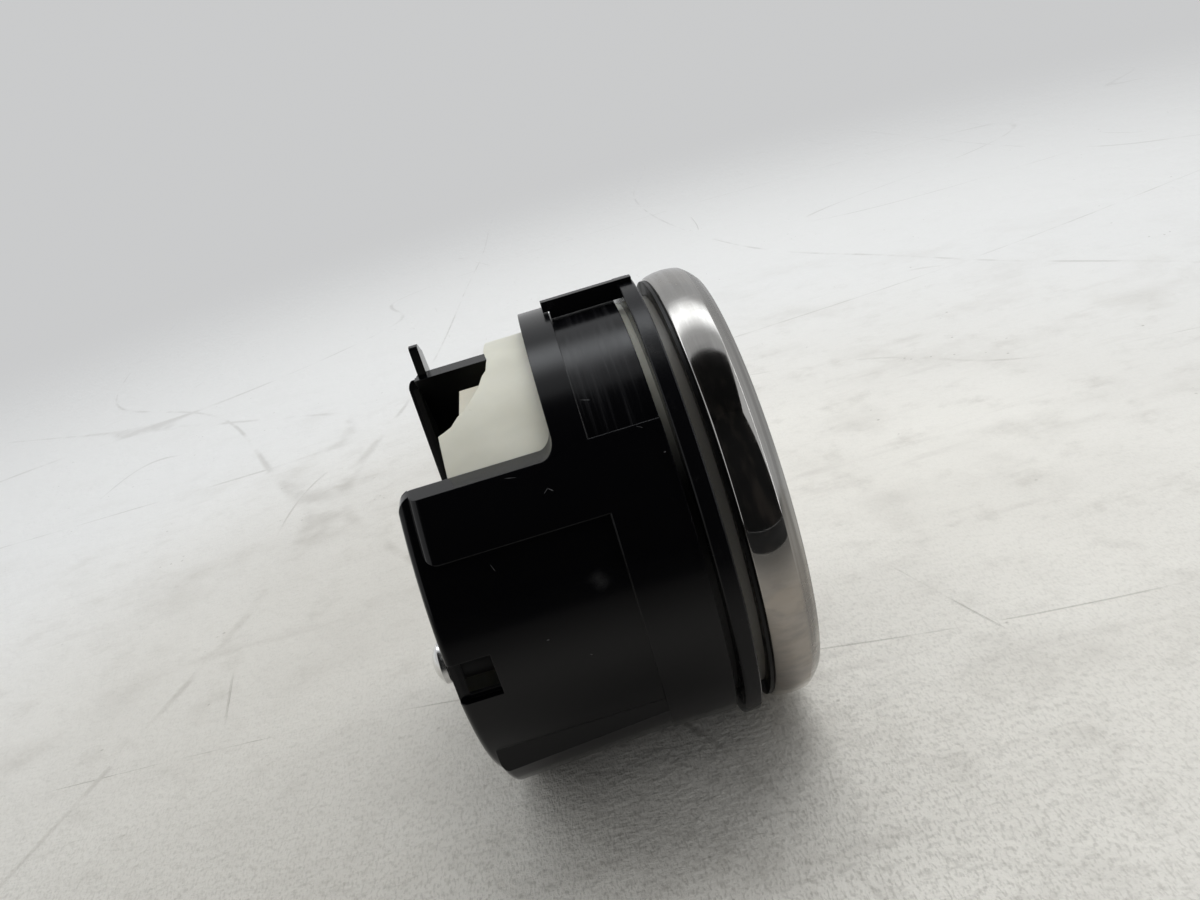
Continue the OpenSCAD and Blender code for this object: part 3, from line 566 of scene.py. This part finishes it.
def turned(name, outline, steps=192, smooth=35, centre=None):
    """Lathes a closed outline of (x, r) in mm about the gauge's axis, or another line along X."""
    middle = centre or Vector((RING_X, 0, AXIS_Z))
    spots = [middle + Vector((x * MM, 0, r * MM)) for x, r in outline]
    thing = start(bpy.ops.mesh.primitive_plane_add, size=MM, location=(0, 0, 0))
    bpy.ops.object.mode_set(mode="EDIT")
    bpy.ops.mesh.select_mode(type="VERT")
    bpy.ops.mesh.select_all(action="SELECT")
    bpy.ops.mesh.merge(type="CENTER")
    bpy.ops.transform.translate(value=spots[0])
    for before, after in zip(spots, spots[1:]):
        bpy.ops.mesh.extrude_region_move(TRANSFORM_OT_translate={"value": after - before})
    bpy.ops.mesh.select_all(action="SELECT")
    bpy.ops.mesh.spin(steps=steps, angle=2 * math.pi, center=middle, axis=(1, 0, 0))
    bpy.ops.mesh.select_all(action="SELECT")
    bpy.ops.mesh.remove_doubles(threshold=1e-6)
    bpy.ops.mesh.normals_make_consistent(inside=False)
    bpy.ops.object.mode_set(mode="OBJECT")
    in_order(thing.data)
    return settle(thing, name, smooth)


def box_between(low, high):
    """A cube drawn out to fill the space between two corners in metres."""
    thing = start(bpy.ops.mesh.primitive_cube_add, size=1, location=(low + high) / 2)
    thing.scale = high - low
    bpy.ops.object.transform_apply(location=True, rotation=True, scale=True)
    return thing


def joined(name, things, smooth=35):
    nothing_selected()
    for thing in things:
        thing.select_set(True)
    bpy.context.view_layer.objects.active = things[0]
    bpy.ops.object.join()
    return settle(bpy.context.object, name, smooth)


def close_ring(outline):
    return outline + [outline[0]]


def bent(centre, radius, first, last, steps):
    """Points (x, r) of an arc; 0 degrees points outward, 90 towards the lens."""
    return [(centre[0] + radius * math.sin(math.radians(first + (last - first) * i / steps)),
             centre[1] + radius * math.cos(math.radians(first + (last - first) * i / steps)))
            for i in range(steps + 1)]


def select_faces(thing, test):
    """Selects the faces of a piece in edit mode that pass a test."""
    bpy.ops.mesh.select_mode(type="FACE")
    bpy.ops.mesh.select_all(action="DESELECT")
    bpy.ops.object.mode_set(mode="OBJECT")
    for face in thing.data.polygons:
        face.select = test(face)
    bpy.ops.object.mode_set(mode="EDIT")


def tapered(name, low, high, end, share, width=0.0):
    """A block whose end face, at its largest x, y or z, is drawn in to a share of its size."""
    thing = box_between(low, high)
    bpy.ops.object.mode_set(mode="EDIT")
    select_faces(thing, lambda face: face.normal[end] > 0.9)
    bpy.ops.transform.resize(value=share)
    if width:
        bpy.ops.mesh.select_all(action="SELECT")
        bpy.ops.mesh.bevel(offset=width, segments=3, affect="EDGES")
    bpy.ops.object.mode_set(mode="OBJECT")
    return settle(thing, name)


def turn_about_axis(thing, theta):
    """Turns a piece about the gauge's axis, from the top towards the camera's side."""
    pivot = Matrix.Translation((RING_X, 0, AXIS_Z))
    thing.data.transform(pivot @ Matrix.Rotation(math.radians(theta), 4, "X") @ pivot.inverted())


def copied(thing, theta=0.0, y=0.0, z=0.0):
    """A copy with its own mesh, moved by y and z mm and turned about the gauge's axis."""
    twin = thing.copy()
    twin.data = thing.data.copy()
    bpy.context.scene.collection.objects.link(twin)
    twin.data.transform(Matrix.Translation((0, y * MM, z * MM)))
    turn_about_axis(twin, theta)
    return twin


def repeated(name, thing, places):
    """A piece modelled at the first of several places (y, z) in mm, and a copy at each other."""
    first_y, first_z = places[0]
    things = [thing] + [copied(thing, y=y - first_y, z=z - first_z) for y, z in places[1:]]
    for number, each in enumerate(things, 1):
        each.name = each.data.name = "%s_%d" % (name, number)
    return things


def drop(*things):
    for thing in things:
        bpy.data.objects.remove(thing)


# Bezel: rolled sheet with a crowned side band, a ridge, a slope and a nose that turns in over the lens
def bezel_outline():
    crown, slope, nose = (12.459, 41.189), (10.19, 45.346), (14.575, 51.0)
    outer = [(7.70, 52.6)] + bent((8.45, 54.3), 0.75, -90, -17, 7) + bent(crown, 14.46, -15, 15, 14)
    outer += bent((16.109, 54.818), 0.35, 20, 32, 2) + bent(slope, 11.52, 34, 53, 7)
    outer += bent(nose, 4.99, 75, 155, 16)
    inner = bent(nose, 4.2, 155, 72, 14) + bent(slope, 10.72, 50, 33, 5) + bent(crown, 13.66, 14, -15, 8)
    return outer + inner + [(8.55, 54.1), (8.5, 53.9), (8.5, 52.6)]


bezel = turned("bezel_shell", close_ring(bezel_outline()), 256, 32)
add_to_part(bezel, CHROME, stands_for=["bezel"])


# Cover screws: domed pan heads with a tapered cross recess
SCREW_PLACES = [(45.48, -1.2), (-45.48, -1.2), (0.0, -45.5)]    # y and z from the axis, mm


def cover_screw(y, z):
    line = Vector((RING_X, y * MM, AXIS_Z + z * MM))
    outline = [(-59.99, 0), (-59.99, 4.55)] + bent((-60.5, 4.35), 0.4, 70, -30, 4)
    outline += bent((-57.06, 0.0), 6.49, 316.5, 270, 9)
    head = turned("head", close_ring(outline), 64, 40, line)
    for turn in (0, 90):
        cutter = tapered("cross", line + Vector((-63.75, -0.38, -1.45)) * MM,
                         line + Vector((-61.9, 0.38, 1.45)) * MM, 0, (1.0, 0.75, 0.5))
        centre = Matrix.Translation(line)
        cutter.data.transform(centre @ Matrix.Rotation(math.radians(turn + 33), 4, "X") @ centre.inverted())
        apply_modifier(head, "BOOLEAN", operation="DIFFERENCE", object=cutter, solver="EXACT")
        drop(cutter)
    shank = turned("shank", close_ring([(-60.0, 0), (-60.0, 2.45), (-41.0, 2.45), (-40.2, 1.8), (-40.2, 0)]),
                   32, 40, line)
    return joined("cover_screw", [head, shank], 30)


for screw in repeated("cover_screw", cover_screw(*SCREW_PLACES[0]), SCREW_PLACES):
    add_to_part(screw, BRIGHT, stands_for=["cover_screws"])


# Dial print: plain numbers, marks and telltales
TO_FACE = Matrix(((0, 0, 1, 0), (1, 0, 0, 0), (0, 1, 0, 0), (0, 0, 0, 1)))
NUMBER_RADIUS, NUMBER_SIZE = 32.8, 6.2    # mm
END_NUMBER = 127                          # degrees from the top, clear of the dial's screws
MARK_OUTER = 43.0                         # mm
MARK_STEPS = 80
TELLTALE_PLACES = [(y, -14.5) for y in (-13.5, -4.5, 4.5, 13.5)]    # y and z from the axis, mm


def number_on_dial(text, clock):
    """A number that stands clockwise from the top of the dial by some degrees."""
    thing = start(bpy.ops.object.text_add, location=(0, 0, 0))
    thing.data.body = text
    thing.data.align_x, thing.data.align_y = "CENTER", "CENTER"
    thing.data.size = NUMBER_SIZE * MM
    thing.data.extrude = 0.02 * MM
    thing.data.offset = 0.09 * MM
    bpy.ops.object.convert(target="MESH")
    thing = bpy.context.object
    thing.data.transform(Matrix.Translation(on_gauge(DIAL_TOP + 0.03, NUMBER_RADIUS, -clock)) @ TO_FACE)
    return thing


numbers = []
for i in range(9):
    clock = (i / 8 - 0.5) * SCALE_SWEEP
    numbers.append(number_on_dial(str(20 * i), max(-END_NUMBER, min(END_NUMBER, clock))))
add_to_part(joined("dial_numbers", numbers, 0), PRINT)


def mark(inner, wide):
    """A mark at the top of the dial, from a radius to the outer end of all marks; mm."""
    low = on_gauge(DIAL_TOP - 0.05, inner) + Vector((0, -wide / 2, 0)) * MM
    high = on_gauge(DIAL_TOP + 0.06, MARK_OUTER) + Vector((0, wide / 2, 0)) * MM
    return settle(box_between(low, high), "mark")


bold, long, short = mark(38.4, 1.05), mark(38.4, 0.7), mark(40.7, 0.4)
marks = []
for step in range(MARK_STEPS + 1):
    kind = bold if step % 10 == 0 else long if step % 5 == 0 else short
    marks.append(copied(kind, (0.5 - step / MARK_STEPS) * SCALE_SWEEP))
drop(bold, long, short)
add_to_part(joined("dial_marks", marks, 0), PRINT)

edge_line = turned("dial_edge_line", close_ring([(DIAL_TOP - 0.05, 43.45), (DIAL_TOP + 0.05, 43.45),
                                                 (DIAL_TOP + 0.05, 43.7), (DIAL_TOP - 0.05, 43.7)]), 160, 30)
add_to_part(edge_line, PRINT)


def telltale(y, z):
    outline = [(-0.1, 0), (-0.1, 2.1), (0.1, 2.1), (0.35, 1.75), (0.45, 1.0), (0.48, 0)]
    return turned("telltale", close_ring([(DIAL_TOP + x, radius) for x, radius in outline]), 40, 50,
                  Vector((RING_X, y * MM, AXIS_Z + z * MM)))


for dome, lamp in zip(repeated("telltale", telltale(*TELLTALE_PLACES[0]), TELLTALE_PLACES), LAMPS):
    add_to_part(dome, lamp)


# Display digits: plain seven-segment shapes on the glass
SEGMENTS = {"0": "abcdef", "1": "bc", "2": "abged", "3": "abgcd", "4": "fgbc",
            "5": "afgcd", "6": "afgedc", "7": "abc", "8": "abcdefg", "9": "abfgcd"}
DIGIT_WIDE, DIGIT_HIGH, BAR = 3.4, 6.2, 0.62        # mm
DIGIT_STEP, FIRST_DIGIT, DIGIT_ROW = 5.2, -13.0, -26.0    # mm from the axis, to the right and up
side, top, half_way = (DIGIT_WIDE - BAR) / 2, (DIGIT_HIGH - BAR) / 2, DIGIT_HIGH / 4
BAR_PLACES = {"a": (0, top), "g": (0, 0), "d": (0, -top), "f": (-side, half_way), "b": (side, half_way),
              "e": (-side, -half_way), "c": (side, -half_way)}


def display_bar(half_y, half_z):
    """A bar in front of the display's glass, on the gauge's axis; half its sizes in mm."""
    half = Vector((0.04, half_y, half_z)) * MM
    return settle(box_between(on_gauge(4.8, 0) - half, on_gauge(4.8, 0) + half), "bar")


level_bar = display_bar(DIGIT_WIDE / 2 - BAR * 1.1, BAR / 2)
upright_bar = display_bar(BAR / 2, DIGIT_HIGH / 4 - BAR * 0.6)
bars = []
for place, figure in enumerate("024680"):
    for name in SEGMENTS[figure]:
        y, z = BAR_PLACES[name]
        bar = level_bar if name in "agd" else upright_bar
        bars.append(copied(bar, y=FIRST_DIGIT + place * DIGIT_STEP + y, z=DIGIT_ROW + z))
drop(level_bar, upright_bar)
add_to_part(joined("display_digits", bars, 0), DIGITS)


# Pointer: tapered needle with a counterweight tail, and its domed cap
needle = tapered("needle", on_gauge(8.4, -2.0) + Vector((0, -1.75, 0)) * MM,
                 on_gauge(9.35, 37.9) + Vector((0, 1.75, 0)) * MM, 2, (0.75, 0.28, 1.0), 0.18 * MM)
tail = tapered("tail", on_gauge(8.4, 2.0) + Vector((0, -1.9, 0)) * MM,
               on_gauge(9.35, 8.9) + Vector((0, 1.9, 0)) * MM, 2, (1.0, 1.5, 1.0), 0.25 * MM)
turn_about_axis(tail, 180)
needle = joined("needle", [needle, tail], 30)
turn_about_axis(needle, POINTER_REST)
add_to_part(needle, NEEDLE, "needle", ["pointer"])

cap = turned("needle_cap", close_ring([(9.4, 0), (9.4, 6.9)] + bent((9.9, 6.6), 0.4, -30, 60, 5)
                                      + [(10.9, 6.25), (11.2, 5.8), (11.35, 5.0)]
                                      + [(11.6, 4.6), (11.78, 3.6), (11.88, 2.2), (11.9, 0)]), 96, 40)
add_to_part(cap, MATT, "needle", ["pointer_cap"])


# Stage

def floor_finish():
    """A white sheet with a fine pressed grain, cloudy tone, faint creases and small scuffs, with a painted
    shadow to the left of the gauge and painted warm bounce light near it; the grain's colour is in part
    painted shade of its relief.
    """
    p = Paint("floor", (0.76, 0.74, 0.70), 0.6)
    here = p.place()
    x, y, _ = p.xyz()
    far = (x * x + y * y).root()
    near = far.step(0.50, 0.14)
    front = y.step(0.10, -0.12)
    # The grain's colour is in part painted shade of its relief, strongest to the front and left where the
    # lamp doesn't rake it.
    pressed = (front * 0.8 + 0.2) * x.step(0.26, -0.06).most(0.42)
    # Painted shadow: the floor is darker to the left of the gauge and near it.
    painted_shadow_left = x.step(0.03, -0.09) * far.step(0.36, 0.12)
    grain = p.noise(1450, 2, 0.6, at=p.place(scale=(1.0, 0.36, 1.0), turn=(0, 0, 0.35)))
    pebble = p.noise(600, 3, 0.6, at=p.place(scale=(0.5, 1.0, 1.0), turn=(0, 0, 0.5)))
    cloud = p.noise(7, 3, 0.55, at=here)
    patch = p.noise(19, 4, 0.6, at=p.place(move=(4, 1, 0)))
    smudge = p.noise(60, 5, 0.65, at=here)
    streaks = p.noise(90, 3, 0.6, at=p.place(scale=(0.16, 1.0, 1.0), turn=(0, 0, 0.9)))

    along, across = (1.0, 0.3, 1.0), (0.3, 1.0, 1.0)

    def thin(level, wide, fade):
        """Thin lines where a noise passes its middle value."""
        return (level - 0.5).size().step(wide, fade)

    long_lines = thin(p.noise(3.1, 1, 0.15, at=p.place(along, (0, 0, 0.5))), 0.0016, 0.0002)
    cross_lines = thin(p.noise(4.3, 1, 0.15, at=p.place(across, (0, 0, 1.15), (2, 5, 0))), 0.0016, 0.0002)
    short_lines = thin(p.noise(8, 0, 0.3, at=p.place((1.0, 0.25, 1.0), (0, 0, 2.2))), 0.0022, 0.0004)
    broken = p.noise(26, 3, 0.6, at=here).step(0.40, 0.62)
    sparse = p.noise(17, 2, at=p.place(move=(7, 2, 0))).step(0.56, 0.68)
    lines = (long_lines.most(cross_lines) * broken).most(short_lines * sparse)
    specks = p.cells(150, at=here).step(0.11, 0.05) * p.noise(30, 2, at=here).step(0.54, 0.64)
    # Painted warm bounce light: the floor is warmer near the gauge and turns neutral farther away.
    tone = p.mix(cloud.step(0.3, 0.7), (0.76, 0.735, 0.675), (0.84, 0.815, 0.75))
    tone = p.mix(far.step(0.10, 0.42), tone, (0.765, 0.762, 0.745))
    # Painted shadow to the left of the gauge.
    tone = p.mix(painted_shadow_left * 0.50, tone, (0.44, 0.42, 0.378))
    tone = p.mix(patch.step(0.48, 0.78) * far.step(0.60, 0.20) * 0.38, tone, (0.50, 0.475, 0.43))
    tone = p.mix(smudge.step(0.50, 0.80) * near * 0.38, tone, (0.43, 0.405, 0.36))
    tone = p.mix(streaks.step(0.55, 0.78) * near * 0.25, tone, (0.44, 0.41, 0.37))
    # Grain and pebble colour: in part the sheet's own grain, in part painted shade of its relief.
    tone = p.mix(pebble.step(0.48, 0.70) * near * pressed * 0.42, tone, (0.37, 0.35, 0.31))
    tone = p.mix(grain.step(0.48, 0.66) * near * pressed * 0.56, tone, (0.36, 0.34, 0.30))
    tone = p.mix((lines * 0.27).most(specks * 0.5), tone, (0.26, 0.235, 0.20))
    p.colour(tone)
    relief = (grain * 1.1 + pebble * 2.0) * pressed + smudge * 3.0 + patch * 8.0 - lines * 0.6
    p.set(Normal=p.bump(relief, 0.0006, 0.7))
    glow = p.node("ShaderNodeEmission", None, {"Color": (*BACKDROP, 1.0)})
    p.show(p.mixed_with(far.step(0.42, 1.2) * p.seen(), glow))
    return p.material


floor = start(bpy.ops.mesh.primitive_plane_add, size=8, location=(0, 0, 0))
floor.name = "floor"
dress(floor, floor_finish())


def card(name, corners, finish, lights=False):
    """A card that only reflections see, unless it lights the scene as well."""
    thing = start(bpy.ops.mesh.primitive_plane_add, size=1, location=(0, 0, 0))
    for vertex, corner in zip(thing.data.vertices, corners):
        vertex.co = corner
    thing.name = name
    dress(thing, finish)
    thing.visible_camera = thing.visible_shadow = False
    thing.visible_diffuse = thing.visible_transmission = lights


def wide(near_y, near_z, far_y, far_z, half=0.8):
    """Corners of a card across the stage, from its near edge to its far one."""
    return [(-half, near_y, near_z), (half, near_y, near_z), (-half, far_y, far_z), (half, far_y, far_z)]


def flag_finish():
    """The dark cards that the black and chrome parts reflect in front of the gauge."""
    p = Paint("flag_black", (0.004, 0.004, 0.004), 1.0)
    p.colour(p.mix(p.noise(3, 2).step(0.45, 0.75), (0.003, 0.003, 0.003), (0.022, 0.018, 0.015)))
    return p.material


FLAG = flag_finish()
card("flag_front", wide(-0.9, 0.003, -0.9, 1.3), FLAG)
card("flag_roof", wide(-0.9, 1.3, 0.0, 1.3), FLAG)
card("flag_floor", wide(-0.9, 0.002, -0.27, 0.002), FLAG)


def shaded_floor():
    """The floor in front of the gauge, as reflections see it: shaded, paler near the gauge."""
    p = Paint("flag_grey", (0.34, 0.32, 0.30), 0.9)
    _, y, _ = p.xyz()
    nearer = y.step(-0.24, -0.05) + p.noise(30, 3) * 0.1
    p.colour(p.mix(nearer, (0.14, 0.133, 0.122), (0.49, 0.47, 0.435)))
    return p.material


card("flag_near", wide(-0.27, 0.0015, -0.03, 0.0015), shaded_floor())


def ceiling_finish():
    """The diffuser over the gauge, brightest in a soft band behind the middle."""
    p = Paint("ceiling_glow", (0, 0, 0), 1.0, Emission_Strength=3.2)
    _, y, _ = p.xyz()
    bright = y.step(0.26, 0.60) * y.step(1.05, 0.60)
    p.set(**{"Emission Color": p.mix(bright, (0.17, 0.173, 0.177), (0.94, 0.97, 1.0))})
    return p.material


card("ceiling", wide(0.0, 1.3, 2.0, 1.3, 1.6), ceiling_finish(), lights=True)


def strip_finish():
    """A narrow bright card that only reflections see: the light along the bezel's edge."""
    p = Paint("strip_glow", (0, 0, 0), 1.0, Emission_Strength=5.0)
    p.set(**{"Emission Color": p.mix(p.noise(9, 2).step(0.35, 0.65), (0.55, 0.56, 0.58), (1.0, 1.0, 1.0))})
    return p.material


card("edge_strip", [(0.70, -0.71, 0.06), (0.61, 0.04, 0.88), (0.74, -0.61, -0.02), (0.67, 0.14, 0.80)],
     strip_finish())

lamp = bpy.data.objects.new("top_box", bpy.data.lights.new("top_box", "AREA"))
lamp.data.shape = "RECTANGLE"
lamp.data.size, lamp.data.size_y = 0.8, 0.55
lamp.data.energy = LAMP_WATTS
lamp.location = LAMP_PLACE
lamp.rotation_mode = "QUATERNION"
lamp.rotation_quaternion = (Vector((0, 0, 0.05)) - lamp.location).to_track_quat("-Z", "Y")
lamp.visible_glossy = False
bpy.context.scene.collection.objects.link(lamp)

world = bpy.data.worlds.new("studio")
bpy.context.scene.world = world
world.use_nodes = True
sky = Nodes(world.node_tree)
soft = sky.tree.nodes["Background"]
sky.feed(soft.inputs["Color"], (0.97, 0.98, 1.0, 1))
sky.feed(soft.inputs["Strength"], WORLD_LIGHT)
shown = sky.node("ShaderNodeBackground", None, {"Color": (*BACKDROP, 1)})
both = sky.node("ShaderNodeMixShader", None, {0: sky.seen(), 1: Wire(sky, soft.outputs[0]), 2: shown})
sky.feed(sky.tree.nodes["World Output"].inputs[0], both)

camera = bpy.data.objects.new("camera", bpy.data.cameras.new("camera"))
bpy.context.scene.collection.objects.link(camera)
camera.data.sensor_width = 36
camera.data.lens = CAMERA_LENS
right = Vector(CAMERA_RIGHT).normalized()
ahead = Vector(CAMERA_AHEAD).normalized()
up = right.cross(ahead).normalized()
turn = Matrix((right, up, -ahead)).transposed().to_4x4()
camera.matrix_world = Matrix.Translation(CAMERA_PLACE) @ turn
camera.data.clip_start = 0.01
camera.data.clip_end = 20
bpy.context.scene.camera = camera
bpy.context.scene.view_settings.view_transform = "Standard"
